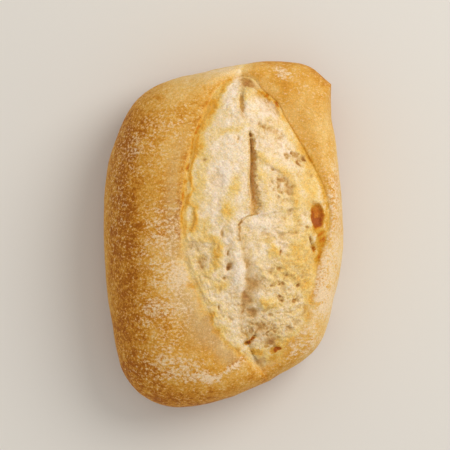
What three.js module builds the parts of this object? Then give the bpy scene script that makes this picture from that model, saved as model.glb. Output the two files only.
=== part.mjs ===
// A short crusty roll, a baguette's dough in a small size. The crust has burst
// lengthwise along the top, and the torn crumb swells out between its two lips.
//
// Millimetres, +Z up. The roll rests on its flat base at z = 0, it is longest
// along Y, and the origin lies under the middle of its outline.
//
// The whole roll is one closed skin, lofted through three outlines that all run
// from the split's far end (v = 0, at +Y) to its near end (v = 1): the seam
// where the crumb has cracked, the lips of the crust, and the girth where the
// roll is widest. Below the girth the skin curls in to the base.

import * as THREE from 'three';
import { ImprovedNoise } from 'three/addons/math/ImprovedNoise.js';
import { mergeVertices } from 'three/addons/utils/BufferGeometryUtils.js';

// ---- Driving dimensions ----

const rollWidth = 83;            // across, X
const rollLength = 120;          // along, Y
const rollHeight = 47;           // base to the top of the crumb, Z

const girthHeight = 17;          // level of the widest outline
const baseShare = 0.87;          // the base's outline as a part of the girth
const farEndHeight = 28;         // crust at the split's far end
const nearEndHeight = 26;        // crust at the split's near end
const leftLipHeight = 42.5;      // crust lip at mid length, left of the split
const rightLipHeight = 35.5;     // crust lip at mid length, right of the split
const seamFarHeight = 36.5;      // crumb at the seam's far end
const seamNearHeight = 33;       // crumb at the seam's near end

const farStep = 1.8;             // how far the crumb starts below a lip in the
const nearStep = 0.7;            // far half, and in the near half
const crustEdge = 0.5;           // rounding of the torn crust edge
const rimRise = 1.1;             // lifted rim along the upper left lip
const rimWidth = 3.2;
const pocketReach = 2.6;         // the crust overhangs the crumb at upper right
const pocketDrop = 1.6;

const crackWidth = 2.5;          // the open fissure in the far half of the seam
const crackDepth = 7.5;
const hairWidth = 0.5;           // the fine crack that goes on from it
const hairDepth = 1.2;
const creviceWidth = 2.0;        // the short dark gap at the seam's near end
const creviceDepth = 3.6;

const crustSwell = 0.5;          // slow unevenness of the crust
const crustSwellSize = 21;
const crumbLump = 0.45;          // lumps of the torn crumb
const crumbLumpSize = 6.5;
const lumpSlice = 0.5;           // level of the noise that the lumps are read at

// ---- Skin resolution ----

const sideSteps = 60;            // from end to end, on each side
const crumbRings = 15;
const flankRings = 12;
const curlRings = 6;
const cornerStep = 15;           // step of the right side that meets the corner
const lipRing = crumbRings + 2;  // the rings inside it are all crumb
const mergeReach = 1e-3;

// ---- Outlines seen from above, in parts of half the width and half the length ----

const girthLeftPoints = [
  [0.15, 0.982], [-0.37, 0.915], [-0.58, 0.86], [-0.765, 0.745], [-0.955, 0.43], [-1, 0.05],
  [-0.965, -0.37], [-0.855, -0.76], [-0.69, -0.925], [-0.43, -0.995], [0.02, -0.947],
  [0.386, -0.84],
];
const girthCornerPoints = [[0.15, 0.982], [0.48, 1], [0.72, 0.975], [0.901, 0.872]];
const girthRightPoints = [
  [0.901, 0.872], [0.895, 0.7], [0.945, 0.44], [1, 0.08], [0.93, -0.33], [0.79, -0.645],
  [0.386, -0.84],
];
const lipLeftPoints = [
  [0.15, 0.918], [-0.06, 0.845], [-0.2, 0.65], [-0.32, 0.32], [-0.355, -0.02],
  [-0.31, -0.2], [-0.17, -0.43], [0.05, -0.645], [0.315, -0.777],
];
const lipRightPoints = [
  [0.15, 0.918], [0.4, 0.785], [0.56, 0.62], [0.74, 0.4], [0.86, 0.2], [0.882, 0.06],
  [0.79, -0.14], [0.75, -0.32], [0.64, -0.56], [0.315, -0.777],
];
const seamPoints = [
  [0.15, 0.77], [0.2, 0.64], [0.235, 0.4], [0.265, 0.185], [0.16, 0.075], [0.155, -0.09],
  [0.19, -0.26], [0.165, -0.46], [0.2, -0.64],
];

// ---- Hollows and lumps of the crumb: middle x, y, half sizes, turn, depth ----
// A negative depth is a lump.

const crumbForms = [
  { x: -2.7, y: 18.6, rx: 3.0, ry: 4.2, turn: 0, depth: 0.8 },
  { x: 22.4, y: 16.0, rx: 2.6, ry: 4.8, turn: 0.2, depth: 1.2 },
  { x: 31.8, y: 6.6, rx: 2.4, ry: 4.4, turn: 0.1, depth: 3.4 },
  { x: -7.7, y: -10.0, rx: 2.2, ry: 2.8, turn: -0.4, depth: 0.7 },
  { x: 10.8, y: -15.7, rx: 3.0, ry: 3.2, turn: 0, depth: 1.5 },
  { x: 9.1, y: -25.0, rx: 3.0, ry: 4.0, turn: 0, depth: 1.5 },
  { x: 17.8, y: -38.4, rx: 2.4, ry: 2.2, turn: 0, depth: 2.6 },
  { x: 12.0, y: -43.4, rx: 2.2, ry: 2.0, turn: 0, depth: 1.0 },
  { x: 8.6, y: 51.6, rx: 3.0, ry: 1.8, turn: -0.4, depth: 1.2 },
  { x: 8.2, y: 47.9, rx: 1.9, ry: 1.9, turn: 0, depth: -0.8 },
  { x: 26.4, y: -8.0, rx: 6.0, ry: 8.5, turn: 0.3, depth: -1.0 },
  { x: 15.6, y: -23.6, rx: 3.4, ry: 3.2, turn: 0, depth: -0.9 },
  { x: 4.6, y: -11.0, rx: 2.8, ry: 7.5, turn: 0.1, depth: -0.9 },
  { x: 1.0, y: 8.0, rx: 3.2, ry: 9.0, turn: -0.1, depth: -0.6 },
];

// The torn fold that runs from the fissure to the crescent hollow
const foldPoints = [[11.5, 29.7], [16.0, 26.2], [20.4, 21.8], [23.6, 17.6], [24.0, 11.6]];
const foldRise = 0.8;
const foldWidth = 2;

// ---- Curves ----

const halfWidth = rollWidth / 2;
const halfLength = rollLength / 2;

function outline(points) {
  const corners = points.map(([x, y]) => new THREE.Vector3(x * halfWidth, y * halfLength, 0));
  return new THREE.CatmullRomCurve3(corners, false, 'centripetal');
}

const girthLeft = outline(girthLeftPoints);
const girthCorner = outline(girthCornerPoints);
const girthRight = outline(girthRightPoints);
const lips = { left: outline(lipLeftPoints), right: outline(lipRightPoints) };
const seam = outline(seamPoints);
const fold = foldPoints.map(([x, y]) => new THREE.Vector2(x, y));
const noise = new ImprovedNoise();

const cornerShare = cornerStep / sideSteps;

function girthPoint(side, v) {
  if (side === 'left') return girthLeft.getPointAt(v);
  if (v < cornerShare) return girthCorner.getPointAt(v / cornerShare);
  return girthRight.getPointAt((v - cornerShare) / (1 - cornerShare));
}

// ---- Heights and widths along the split ----

const { lerp, smoothstep } = THREE.MathUtils;

// A long low arch from one end value to the other, over a crown at mid length
function arch(far, crown, near, v, flatness) {
  const ends = lerp(far, near, v);
  return ends + (crown - ends) * Math.sin(Math.PI * v) ** flatness;
}

// Rises from 0 to 1 and falls back, within from..to
function stretch(v, from, to, ramp) {
  return smoothstep(v, from, from + ramp) * (1 - smoothstep(v, to - ramp, to));
}

const lipArch = 0.75;            // flatness of the two arches, 1 is a half sine
const seamArch = 0.8;

function lipHeight(side, v) {
  const crown = side === 'left' ? leftLipHeight : rightLipHeight;
  return arch(farEndHeight, crown, nearEndHeight, v, lipArch);
}

function seamHeight(v) {
  return arch(seamFarHeight, rollHeight, seamNearHeight, v, seamArch);
}

const fissure = { from: 0.05, to: 0.48, ramp: 0.1 };
const fissureTaper = 0.45;       // its far end is this part of its full width
const crevice = { from: 0.86, to: 1, ramp: 0.06 };
const rim = { from: 0.08, to: 0.56, ramp: 0.1 };
const pocket = { from: 0.05, to: 0.27, ramp: 0.07 };
const lowering = { from: 0.48, to: 0.66 };      // where the far step becomes the near one
const stepFoot = 5;              // how sharply the step stands at the lip
const reliefFade = 0.15;         // part of the way to the seam where relief sets in
const endClosing = 0.3;          // how bluntly the seam closes at its two ends
const hollowEdge = 3;            // how steep the side of a hollow is, 2 is a plain bell

function along(part, v) {
  return stretch(v, part.from, part.to, part.ramp);
}

function crumbStep(v) {
  return lerp(farStep, nearStep, smoothstep(v, lowering.from, lowering.to));
}

function seamOpening(v) {
  const open = along(fissure, v);
  const gap = along(crevice, v);
  const taper = lerp(fissureTaper, 1, smoothstep(v, fissure.from, fissure.to));
  const width = hairWidth + (crackWidth * taper - hairWidth) * open
    + (creviceWidth - hairWidth) * gap;
  const depth = hairDepth + (crackDepth - hairDepth) * open + (creviceDepth - hairDepth) * gap;
  const closing = Math.sin(Math.PI * v) ** endClosing;
  return { halfWidth: width * closing / 2, depth };
}

// ---- Relief ----

function distanceToLine(line, x, y) {
  const here = new THREE.Vector2(x, y);
  let nearest = Infinity;
  for (let i = 1; i < line.length; i += 1) {
    const step = line[i].clone().sub(line[i - 1]);
    const reach = here.clone().sub(line[i - 1]).dot(step) / step.lengthSq();
    const foot = line[i - 1].clone().addScaledVector(step, Math.min(1, Math.max(0, reach)));
    nearest = Math.min(nearest, foot.distanceTo(here));
  }
  return nearest;
}

// A bell-shaped hollow or lump with an oval foot
function formDepth(form, x, y) {
  const dx = x - form.x;
  const dy = y - form.y;
  const across = (dx * Math.cos(form.turn) + dy * Math.sin(form.turn)) / form.rx;
  const lengthwise = (dy * Math.cos(form.turn) - dx * Math.sin(form.turn)) / form.ry;
  return form.depth * Math.exp(-(Math.hypot(across, lengthwise) ** hollowEdge));
}

function bump(distance, width) {
  return Math.exp(-((distance / width) ** 2));
}

function crumbRelief(x, y) {
  let rise = crumbLump * 2 * noise.noise(x / crumbLumpSize, y / crumbLumpSize, lumpSlice);
  rise += foldRise * bump(distanceToLine(fold, x, y), foldWidth);
  for (const form of crumbForms) rise -= formDepth(form, x, y);
  return rise;
}

function crustRelief(point) {
  const size = crustSwellSize;
  return crustSwell * 2 * noise.noise(point.x / size, point.y / size, point.z / size);
}

// ---- Rings of the skin: each gives a point for a side and a v ----

function seamBottomPoint(v) {
  const point = seam.getPointAt(v);
  point.z = seamHeight(v) - seamOpening(v).depth;
  return point;
}

function seamEdgePoint(side, v) {
  const point = seam.getPointAt(v);
  point.x += seamOpening(v).halfWidth * (side === 'left' ? -1 : 1);
  point.z = seamHeight(v) + crumbRelief(point.x, point.y);
  return point;
}

// From the lip (w = 0) to the edge of the seam (w = 1), swelling up in between
function crumbPoint(side, v, w) {
  const lip = lips[side].getPointAt(v);
  const edge = seam.getPointAt(v);
  edge.x += seamOpening(v).halfWidth * (side === 'left' ? -1 : 1);
  const point = lip.clone().lerp(edge, w);
  const height = lerp(lipHeight(side, v), seamHeight(v), Math.sin(w * Math.PI / 2));
  const step = crumbStep(v) * (1 - w) ** stepFoot;
  point.z = height - step + crumbRelief(point.x, point.y) * smoothstep(w, 0, reliefFade);
  return point;
}

// Foot of the torn crust edge, drawn back under the overhang at upper right
function recessPoint(side, v) {
  const lip = lips[side].getPointAt(v);
  const outward = lip.clone().sub(seam.getPointAt(v)).setZ(0).normalize();
  const reach = side === 'right' ? along(pocket, v) : 0;
  const point = lip.addScaledVector(outward, pocketReach * reach - crustEdge);
  point.z = lipHeight(side, v) - crumbStep(v) - pocketDrop * reach;
  return point;
}

function lipEdgePoint(side, v) {
  const point = flankPoint(side, v, 0);
  const inward = seam.getPointAt(v).sub(point).setZ(0).normalize();
  point.addScaledVector(inward, crustEdge);
  point.z -= crustEdge;
  return point;
}

// From the lip (t = 0) round the shoulder to the girth (t = 1)
function flankPoint(side, v, t) {
  const lip = lips[side].getPointAt(v);
  const girth = girthPoint(side, v);
  const angle = t * Math.PI / 2;
  const point = lip.clone().lerp(girth, Math.sin(angle));
  const lift = side === 'left' ? along(rim, v) * rimRise : 0;
  const rise = lift * bump(point.distanceTo(lip), rimWidth);
  point.z = lerp(girthHeight, lipHeight(side, v), Math.cos(angle)) + rise;
  return point;
}

// From the girth (t = 0) in under the roll to the rim of the base (t = 1)
function curlPoint(side, v, t) {
  const angle = t * Math.PI / 2;
  const inset = lerp(1, baseShare, 1 - Math.cos(angle));
  const point = girthPoint(side, v).multiplyScalar(inset);
  point.z = girthHeight * (1 - Math.sin(angle));
  return point;
}

// ---- The skin ----

// One closed ring: down the left side from the far end, and back up the right
function ringOf(pointAt) {
  const ring = [];
  for (let i = 0; i < sideSteps; i += 1) ring.push(pointAt('left', i / sideSteps));
  for (let i = sideSteps; i > 0; i -= 1) ring.push(pointAt('right', i / sideSteps));
  return ring;
}

function skinRings() {
  const rings = [ringOf((side, v) => seamBottomPoint(v)), ringOf(seamEdgePoint)];
  for (let k = 1; k < crumbRings; k += 1) {
    rings.push(ringOf((side, v) => crumbPoint(side, v, 1 - k / crumbRings)));
  }
  rings.push(ringOf(recessPoint));
  rings.push(ringOf(lipEdgePoint));
  for (let k = 0; k <= flankRings; k += 1) {
    rings.push(ringOf((side, v) => flankPoint(side, v, k / flankRings)));
  }
  for (let k = 1; k <= curlRings; k += 1) {
    rings.push(ringOf((side, v) => curlPoint(side, v, k / curlRings)));
  }
  return rings;
}

// Joins neighbouring rings with two triangles for each step, faces outward
function joinRings(rings) {
  const indices = [];
  const count = rings[0].length;
  for (let r = 1; r < rings.length; r += 1) {
    const inner = (r - 1) * count;
    const outer = r * count;
    for (let i = 0; i < count; i += 1) {
      const next = (i + 1) % count;
      indices.push(inner + i, outer + i, outer + next);
      indices.push(inner + i, outer + next, inner + next);
    }
  }
  return indices;
}

function closeBase(indices, rings, centre) {
  const rimRing = rings[0].length * (rings.length - 1);
  const count = rings[0].length;
  for (let i = 0; i < count; i += 1) indices.push(rimRing + i, centre, rimRing + (i + 1) % count);
}

// Crust unevenness along the normal, from the lips down and fading to the base
function roughenCrust(geometry, firstVertex, lastVertex) {
  geometry.computeVertexNormals();
  const position = geometry.attributes.position;
  const normal = geometry.attributes.normal;
  const point = new THREE.Vector3();
  const outward = new THREE.Vector3();
  for (let i = firstVertex; i < lastVertex; i += 1) {
    point.fromBufferAttribute(position, i);
    outward.fromBufferAttribute(normal, i);
    const fade = smoothstep(point.z, 0, girthHeight);
    point.addScaledVector(outward, crustRelief(point) * fade);
    position.setXYZ(i, point.x, point.y, point.z);
  }
}

// Brings the skin to the driving dimensions, base at z = 0
function fitToSize(geometry) {
  geometry.computeBoundingBox();
  const { min, max } = geometry.boundingBox;
  const size = max.clone().sub(min);
  geometry.translate(-(min.x + max.x) / 2, -(min.y + max.y) / 2, -min.z);
  geometry.scale(rollWidth / size.x, rollLength / size.y, rollHeight / size.z);
}

function loafGeometry() {
  const rings = skinRings();
  const points = rings.flat();
  const centre = points.length;
  points.push(new THREE.Vector3(0, 0, 0));
  const indices = joinRings(rings);
  closeBase(indices, rings, centre);

  const skin = new THREE.BufferGeometry();
  skin.setFromPoints(points);
  skin.setIndex(indices);
  const firstCrust = rings[0].length * lipRing;
  roughenCrust(skin, firstCrust, centre);
  fitToSize(skin);
  skin.deleteAttribute('normal');
  return dropFlatTriangles(mergeVertices(skin, mergeReach));
}

// The two sides of the seam share its bottom line, so some triangles there
// have two corners at one point
function dropFlatTriangles(geometry) {
  const index = Array.from(geometry.index.array);
  const kept = [];
  for (let i = 0; i < index.length; i += 3) {
    const [a, b, c] = index.slice(i, i + 3);
    if (a !== b && b !== c && c !== a) kept.push(a, b, c);
  }
  geometry.setIndex(kept);
  geometry.computeVertexNormals();
  return geometry;
}

// ---- Object ----

const crustMaterial = new THREE.MeshStandardMaterial({
  color: 0xcf9a55,
  roughness: 0.75,
  metalness: 0,
});

const loaf = new THREE.Mesh(loafGeometry(), crustMaterial);
loaf.name = 'loaf';

const group = new THREE.Group();
group.add(loaf);

export default group;
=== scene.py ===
import math
import bpy
import numpy as np
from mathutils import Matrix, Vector


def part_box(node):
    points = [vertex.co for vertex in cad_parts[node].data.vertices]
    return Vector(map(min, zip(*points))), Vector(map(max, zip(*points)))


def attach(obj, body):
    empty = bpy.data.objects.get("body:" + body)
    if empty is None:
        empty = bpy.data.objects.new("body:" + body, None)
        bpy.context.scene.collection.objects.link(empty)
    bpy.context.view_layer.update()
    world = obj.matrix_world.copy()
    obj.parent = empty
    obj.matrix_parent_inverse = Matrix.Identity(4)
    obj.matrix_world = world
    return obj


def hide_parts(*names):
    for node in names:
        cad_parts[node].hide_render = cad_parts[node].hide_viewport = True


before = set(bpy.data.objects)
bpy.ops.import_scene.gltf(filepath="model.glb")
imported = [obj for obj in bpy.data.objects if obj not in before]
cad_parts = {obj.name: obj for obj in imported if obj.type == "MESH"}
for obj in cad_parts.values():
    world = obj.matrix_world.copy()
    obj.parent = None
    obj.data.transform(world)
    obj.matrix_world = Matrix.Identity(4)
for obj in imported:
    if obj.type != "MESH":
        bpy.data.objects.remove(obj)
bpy.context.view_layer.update()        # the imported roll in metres, resting on z = 0
mm = 0.001
rollLow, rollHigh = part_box("loaf")
halfSize = np.array([rollHigh[0] - rollLow[0], rollHigh[1] - rollLow[1]]) / 2 / mm
rollTop = (rollHigh[2] - rollLow[2]) / mm

# The roll is one skin, rolled up from a flat grid. Its columns run round the roll and
# its rows run from the bottom of the crack out over the crumb, the lip and the flank,
# and in under the roll. v is 0 at the far end of the split and 1 at the near end.
# Lengths in these dictionaries are millimetres.
skin = {
    "around": 760,
    "wallRows": 7,           # down the sides of the crack
    "crumbRows": 75,
    "flankRows": 24,
    "curlRows": 10,
    "baseRows": 2,
    "baseInner": 0.93,       # the flat middle of the base, as a part of its rim
    "cornerShare": 0.25,     # share of the right side that lies above the sharp corner
    "weld": 0.001,           # points nearer than this become one
}

form = {
    "girthHeight": 17,
    "baseShare": 0.87,
    "farEnd": 28, "nearEnd": 26,            # crust at the two ends of the split
    "leftLip": 43.8, "rightLip": 35.5,      # lips at mid length
    "seamFar": 36.5, "seamNear": 33,        # crumb at the two ends of the crack
    "lipArch": 0.75, "seamArch": 0.8,
    "nearLipArch": 0.62, "nearSeamArch": 0.95,  # on the near half
    "domeEnds": (0.4, 0.6),                 # v where the crumb left of the crack stops doming
    "leftStep": 0.35, "rightStep": 0.25, "nearStep": 0.05,  # the crumb starts this far below the lip
    "leftStepEnds": (0.46, 0.56), "rightStepEnds": (0.56, 0.72),
    "stepSteep": 5,
    "rimRise": 0.35, "rimWidth": 2.6,       # lifted rim of the upper left lip
    "rimAlong": (0.08, 0.56, 0.1),          # from one v to another, coming and going over the third
    "pocketReach": 0.1, "pocketDrop": 0.1,  # overhang of the upper right lip
    "pocketAlong": (0.07, 0.2, 0.05),
}

# Outlines seen from above, in parts of half the width and half the length
outlines = {
    "girthLeft": [
        (0.15, 0.982), (-0.37, 0.915), (-0.58, 0.86), (-0.765, 0.745), (-0.955, 0.43),
        (-1, 0.05), (-0.965, -0.37), (-0.855, -0.76), (-0.69, -0.925), (-0.43, -0.995),
        (0.02, -0.947), (0.386, -0.84)],
    "girthCorner": [(0.15, 0.982), (0.48, 1), (0.72, 0.975), (0.901, 0.872)],
    "girthRight": [
        (0.901, 0.872), (0.895, 0.7), (0.945, 0.44), (1, 0.08), (0.93, -0.33),
        (0.79, -0.645), (0.386, -0.84)],
    "lipLeft": [
        (0.15, 0.918), (-0.015, 0.872), (-0.1, 0.8), (-0.175, 0.69), (-0.28, 0.49),
        (-0.332, 0.26), (-0.35, 0.02), (-0.352, -0.09), (-0.275, -0.26), (-0.135, -0.465),
        (-0.05, -0.585), (0.1, -0.67), (0.315, -0.777)],
    "lipRight": [
        (0.15, 0.918), (0.245, 0.9), (0.325, 0.835), (0.455, 0.755), (0.5, 0.69), (0.575, 0.605),
        (0.72, 0.43), (0.84, 0.258), (0.88, 0.06), (0.79, -0.14), (0.765, -0.24),
        (0.72, -0.4), (0.63, -0.57), (0.47, -0.695), (0.315, -0.777)],
    "seam": [
        (0.145, 0.797), (0.149, 0.727), (0.218, 0.593), (0.241, 0.465), (0.237, 0.305),
        (0.262, 0.195), (0.247, 0.118), (0.145, 0.092), (0.13, -0.023), (0.193, -0.14),
        (0.2, -0.248), (0.161, -0.463), (0.217, -0.642)],
}

# Width and depth of the crack along v. A layer of noise is the size of its lumps, its
# strength and an offset.
crack = {
    "v": [0, 0.02, 0.05, 0.07, 0.135, 0.15, 0.20, 0.33, 0.40, 0.44, 0.47, 0.52, 0.56, 0.93, 0.95, 1],
    "width": [0.8, 1.4, 1.1, 0.2, 0.2, 1.5, 2.1, 2.2, 3.6, 3.0, 0.4, 0.3, 0.2, 0.2, 0.9, 0.6],
    "depth": [0.3, 0.7, 0.5, 0, 0, 2.0, 3.0, 3.0, 2.8, 1.8, 0.35, 0.25, 0, 0, 0.5, 0.3],
    "least": 0.08,           # half its width where it is shut
    "ragged": [(1.9, 0.6, 0), (0.7, 0.48, 3.3)], "raggedAlong": (0, 0.48, 0.03),   # its right edge
    "wander": [(2.4, 0.9, 6.7)], "wanderAlong": (0.46, 0.96, 0.06),                # sideways
    "rough": 0.5, "roughSize": 0.8, "roughDepth": 2,    # its right wall, fully where it is this deep
    "leftShare": 0.3,        # how ragged and rough its left side is beside its right one
    "undercut": 0.6,         # its bottom lies this part of the way to its left edge
    "strand": 0.166, "strandWidth": 0.004, "strandFill": 0.85,    # a strand bridges it at this v
}

# The same draw for each whole point of space, so every run gives the same roll
dice = np.random.default_rng(11)
shuffled = dice.permutation(256)
slopes = dice.normal(size=(256, 3))
slopes /= np.linalg.norm(slopes, axis=1)[:, None]
chances = dice.random((256, 4))


def draw(x, y, z):
    return shuffled[(shuffled[(shuffled[x & 255] + y) & 255] + z) & 255]


# Smooth noise; size is the size of its lumps, and an offset gives it other lumps
def softNoise(points, size, offset=0):
    spot = points / size + offset
    whole = np.floor(spot).astype(int)
    part = spot - whole
    ease = part * part * part * (part * (part * 6 - 15) + 10)
    total = np.zeros(len(points))
    for dx in (0, 1):
        for dy in (0, 1):
            for dz in (0, 1):
                step = np.array([dx, dy, dz])
                weight = np.prod(np.abs(1 - step - ease), axis=1)
                slope = slopes[draw(*(whole + step).T)]
                total += weight * np.sum(slope * (part - step), axis=1)
    return total * 1.7       # about -1 to 1


# Layers of soft noise, each with the size of its lumps, its strength and an offset
def layered(points, layers):
    return sum(strength * softNoise(points, size, offset) for size, strength, offset in layers)


# Cells of a foam over the x-y plane: how near the wall between two cells is (0 at the
# wall), and a chance of 0 to 1 that belongs to the cell
def foamCells(points, size, layer, warp=0.35):
    spot = points[:, :2] / size
    spot[:, 0] += warp * softNoise(points, size * 1.4, layer)
    spot[:, 1] += warp * softNoise(points, size * 1.4, layer + 5.5)
    whole = np.floor(spot).astype(int)
    nearest = np.full(len(points), 9.0)
    second = np.full(len(points), 9.0)
    luck = np.zeros(len(points))
    for dx in (-1, 0, 1):
        for dy in (-1, 0, 1):
            cell = whole + (dx, dy)
            chance = chances[draw(cell[:, 0], cell[:, 1], layer)]
            away = np.linalg.norm(spot - cell - 0.1 - 0.8 * chance[:, :2], axis=1)
            closer = away < nearest
            second = np.where(closer, nearest, np.minimum(second, away))
            luck = np.where(closer, chance[:, 2], luck)
            nearest = np.minimum(nearest, away)
    return second - nearest, luck


# Open bubbles of a foam: 0 on its walls, up to 1 in a share of its cells
def openBubbles(points, size, share, layer):
    wall, luck = foamCells(points, size, layer)
    return smoothStep(wall, 0.03, 0.5) * smoothStep(luck, 1 - share, 1.25 - share)


# The same places seen along fibres: turned, and shortened along them
def alongFibres(points, turn, ratio):
    c, s = np.cos(turn), np.sin(turn)
    along = (points[:, 0] * c + points[:, 1] * s) / ratio
    across = points[:, 1] * c - points[:, 0] * s
    return np.column_stack([along, across, points[:, 2] / ratio])


def smoothStep(value, low, high):
    t = np.clip((value - low) / (high - low), 0, 1)
    return t * t * (3 - 2 * t)


def stretch(v, low, high, ramp):
    return smoothStep(v, low, low + ramp) * (1 - smoothStep(v, high - ramp, high))


def blend(a, b, share):
    return a + (b - a) * share


# A curve through the points, read at equal steps of its length
def smoothLine(points):
    knots = np.array(points) * halfSize
    knots = np.vstack([2 * knots[0] - knots[1], knots, 2 * knots[-1] - knots[-2]])
    fine = []
    for p0, p1, p2, p3 in zip(knots, knots[1:], knots[2:], knots[3:]):
        t0 = 0
        t1 = t0 + math.sqrt(math.dist(p0, p1))
        t2 = t1 + math.sqrt(math.dist(p1, p2))
        t3 = t2 + math.sqrt(math.dist(p2, p3))
        t = np.linspace(t1, t2, 40, endpoint=False)[:, None]
        a1 = ((t1 - t) * p0 + (t - t0) * p1) / (t1 - t0)
        a2 = ((t2 - t) * p1 + (t - t1) * p2) / (t2 - t1)
        a3 = ((t3 - t) * p2 + (t - t2) * p3) / (t3 - t2)
        b1 = ((t2 - t) * a1 + (t - t0) * a2) / (t2 - t0)
        b2 = ((t3 - t) * a2 + (t - t1) * a3) / (t3 - t1)
        fine.append(((t2 - t) * b1 + (t - t1) * b2) / (t2 - t1))
    fine = np.vstack(fine + [knots[-2]])
    length = np.concatenate([[0], np.cumsum(np.linalg.norm(np.diff(fine, axis=0), axis=1))])
    length /= length[-1]
    return lambda v: np.column_stack([np.interp(v, length, fine[:, k]) for k in (0, 1)])


lines = {name: smoothLine(points) for name, points in outlines.items()}


# From the far end over the crown at mid length to the near end
def arch(far, crown, near, v, flatness, nearFlatness):
    ends = blend(far, near, v)
    return ends + (crown - ends) * np.sin(np.pi * v) ** np.where(v < 0.5, flatness, nearFlatness)


# The crack along v: its bottom, its edge on the column's own side, and its depth
def crackColumns(left, v):
    seam = lines["seam"](v)
    flat = np.column_stack([seam, v * 0])
    sway = layered(flat, crack["wander"]) * stretch(v, *crack["wanderAlong"])
    seam = seam + np.outer(sway, [1, 0])
    half = np.interp(v, crack["v"], crack["width"]) / 2
    bottom = seam - np.outer(half * crack["undercut"], [1, 0])
    ragged = layered(flat, crack["ragged"]) * stretch(v, *crack["raggedAlong"])
    half = half + np.where(left, crack["leftShare"], 1) * ragged
    edge = seam + np.outer(np.where(left, -1, 1) * np.maximum(half, crack["least"]), [1, 0])
    strand = np.exp(-((v - crack["strand"]) / crack["strandWidth"]) ** 2)
    depth = np.interp(v, crack["v"], crack["depth"]) * (1 - crack["strandFill"] * strand)
    return {"seam": seam, "bottom": bottom, "edge": edge, "depth": depth}


# On the right the girth is two curves that meet at the sharp corner
def rightGirth(v):
    share = skin["cornerShare"]
    cornerPart = lines["girthCorner"](np.clip(v / share, 0, 1))
    lowerPart = lines["girthRight"](np.clip((v - share) / (1 - share), 0, 1))
    return np.where((v < share)[:, None], cornerPart, lowerPart)


# Everything that depends on the column alone: its side, its v, outlines and heights
def columnTable():
    turn = np.arange(skin["around"]) / skin["around"]
    left = turn < 0.5
    v = np.where(left, 2 * turn, 2 - 2 * turn)
    table = {"left": left, "v": v}
    table.update(crackColumns(left, v))
    table["girth"] = np.where(left[:, None], lines["girthLeft"](v), rightGirth(v))
    table["lip"] = np.where(left[:, None], lines["lipLeft"](v), lines["lipRight"](v))
    outward = table["lip"] - table["seam"]
    table["outward"] = outward / np.linalg.norm(outward, axis=1)[:, None]
    seamHeights = (form["seamFar"], rollTop, form["seamNear"])
    table["seamZ"] = arch(*seamHeights, v, form["seamArch"], form["nearSeamArch"])
    crown = np.where(left, form["leftLip"], form["rightLip"])
    nearArch = np.where(left, form["nearLipArch"], form["lipArch"])
    table["lipZ"] = arch(form["farEnd"], crown, form["nearEnd"], v, form["lipArch"], nearArch)
    table["dome"] = np.where(left, 1 - smoothStep(v, *form["domeEnds"]), 1)
    leftStep = blend(form["leftStep"], form["nearStep"], smoothStep(v, *form["leftStepEnds"]))
    rightStep = blend(form["rightStep"], form["nearStep"], smoothStep(v, *form["rightStepEnds"]))
    table["step"] = np.where(left, leftStep, rightStep)
    table["rim"] = np.where(left, stretch(v, *form["rimAlong"]), 0)
    table["pocket"] = np.where(left, 0, stretch(v, *form["pocketAlong"]))
    return table


column = columnTable()

# The torn edge of the crust in section: how far out from the lip line, which share of
# the step it lies down, and which share of the pocket's reach and drop is added
lipSection = [
    (-0.30, 1.00, 1.3, 1.2), (-0.20, 0.86, 1.3, 0.9), (-0.10, 0.66, 1.2, 0.3),
    (0.02, 0.46, 0.6, 0.0), (0.20, 0.26, 0.0, 0.0), (0.60, 0.08, 0.0, 0.0), (1.20, 0.01, 0.0, 0.0),
]
lipFoot = skin["wallRows"] + skin["crumbRows"]       # number of the lip's first row
lipNose = lipFoot + [section[0] > 0 for section in lipSection].index(True)     # the crust starts here
lipCrest = lipFoot + len(lipSection)


def rowOf(xy, z):
    return np.column_stack([xy, np.broadcast_to(z, len(xy))])


def wallRow(share):            # share 1 is the bottom of the crack, 0 its edge
    xy = blend(column["bottom"], column["edge"], 1 - share)
    return rowOf(xy, column["seamZ"] - column["depth"] * share)


def crumbRow(w):               # w 1 is the edge of the crack, 0 the foot of the lip
    swell = blend(w, math.sin(w * math.pi / 2), column["dome"])
    z = blend(column["lipZ"], column["seamZ"], swell)
    foot = column["lip"] + lipSection[0][0] * column["outward"]
    return rowOf(blend(foot, column["edge"], w), z - column["step"] * (1 - w) ** form["stepSteep"])


def lipRow(out, down, reach, drop):
    away = out + form["pocketReach"] * column["pocket"] * reach
    fall = column["step"] * down + form["pocketDrop"] * column["pocket"] * drop
    z = column["lipZ"] + column["rim"] * form["rimRise"] - fall
    return rowOf(column["lip"] + column["outward"] * away[:, None], z)


def flankRow(t):               # t 0 is the crest of the lip, 1 the girth
    crest = lipRow(*lipSection[-1])
    xy = blend(crest[:, :2], column["girth"], math.sin(t * math.pi / 2))
    away = np.linalg.norm(xy - crest[:, :2], axis=1)
    rise = column["rim"] * form["rimRise"] * np.exp(-(away / form["rimWidth"]) ** 2)
    return rowOf(xy, blend(form["girthHeight"], column["lipZ"], math.cos(t * math.pi / 2)) + rise)


def curlRow(t):                # t 0 is the girth, 1 the rim of the base
    inset = blend(1, form["baseShare"], 1 - math.cos(t * math.pi / 2))
    return rowOf(column["girth"] * inset, form["girthHeight"] * (1 - math.sin(t * math.pi / 2)))


def baseRow(t):                # t 0 is the rim of the base
    return rowOf(column["girth"] * form["baseShare"] * blend(1, skin["baseInner"], t), 0)


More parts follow.
